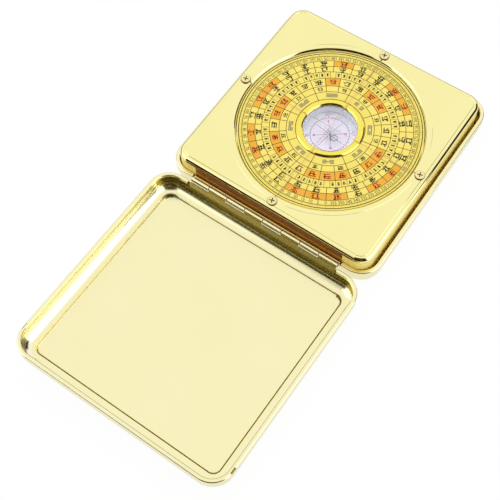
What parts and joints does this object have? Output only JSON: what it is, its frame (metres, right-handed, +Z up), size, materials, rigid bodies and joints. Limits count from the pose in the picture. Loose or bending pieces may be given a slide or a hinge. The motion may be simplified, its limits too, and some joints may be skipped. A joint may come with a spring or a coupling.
{
  "type": "feng shui compass",
  "caption": "Square folding geomantic compass: hinged pressed-metal case, gold dial plate, turning printed dial with cross threads, and a needle capsule under glass.",
  "frame": {"origin": "centre of the flat underside of the base tray", "axes": "+Z up out of the tray, +X along the hinge to the right, +Y from the hinge to the front of the tray; the open lid lies towards -Y"},
  "size_m": [0.086, 0.1729, 0.0153],
  "materials": {
    "case_metal": "pale champagne gold, pressed sheet with a satin sheen",
    "gold_plate": "mirror gold plating on moulded plastic",
    "steel": "bright steel",
    "screw_metal": "nickel-plated pan head screws",
    "thread": "translucent amber nylon thread",
    "foam_tape": "black foam tape",
    "carrier_plastic": "moulded yellow plastic",
    "dial_print": "yellow printed ring card under clear lacquer",
    "capsule_white": "white moulded cup",
    "rose_print": "white printed compass rose",
    "capsule_glass": "clear flat window",
    "needle_blue": "blued magnetised steel",
    "cap_brass": "turned brass cap"
  },
  "bodies": {
    "base": {"base_tray": "case_metal", "base_hinge_leaf": "case_metal", "hinge_pin": "steel", "dial_plate": "gold_plate", "thread_screw_left": "screw_metal", "thread_screw_right": "screw_metal", "thread_screw_front": "screw_metal", "thread_screw_hinge_side": "screw_metal", "cross_thread_across": "thread", "cross_thread_along": "thread", "foam_pad_1": "foam_tape", "foam_pad_2": "foam_tape", "foam_pad_3": "foam_tape", "foam_pad_4": "foam_tape"},
    "lid": {"lid_shell": "case_metal", "lid_hinge_leaf": "case_metal"},
    "dial": {"dial_carrier": "carrier_plastic", "dial_card": "dial_print", "capsule_bezel": "gold_plate", "capsule_cup": "capsule_white", "compass_rose": "rose_print", "capsule_glass": "capsule_glass", "pivot_post": "steel", "axle_screw": "steel", "spring_washer": "steel"},
    "needle": {"needle_blade": "needle_blue", "needle_cap": "cap_brass", "needle_loop": "steel"}
  },
  "joints": [
    {"name": "lid_hinge", "type": "hinge", "parent": "base", "child": "lid", "pos_m": [0, -0.0436, 0.00865], "axis": [-1, 0, 0], "range_deg": [0, 177.5]},
    {"name": "dial_turn", "type": "hinge", "parent": "base", "child": "dial", "pos_m": [0, -0.0008, 0.01], "axis": [0, 0, 1], "continuous": true},
    {"name": "needle_swing", "type": "hinge", "parent": "dial", "child": "needle", "pos_m": [0, -0.0008, 0.011], "axis": [0, 0, 1], "continuous": true}
  ]
}
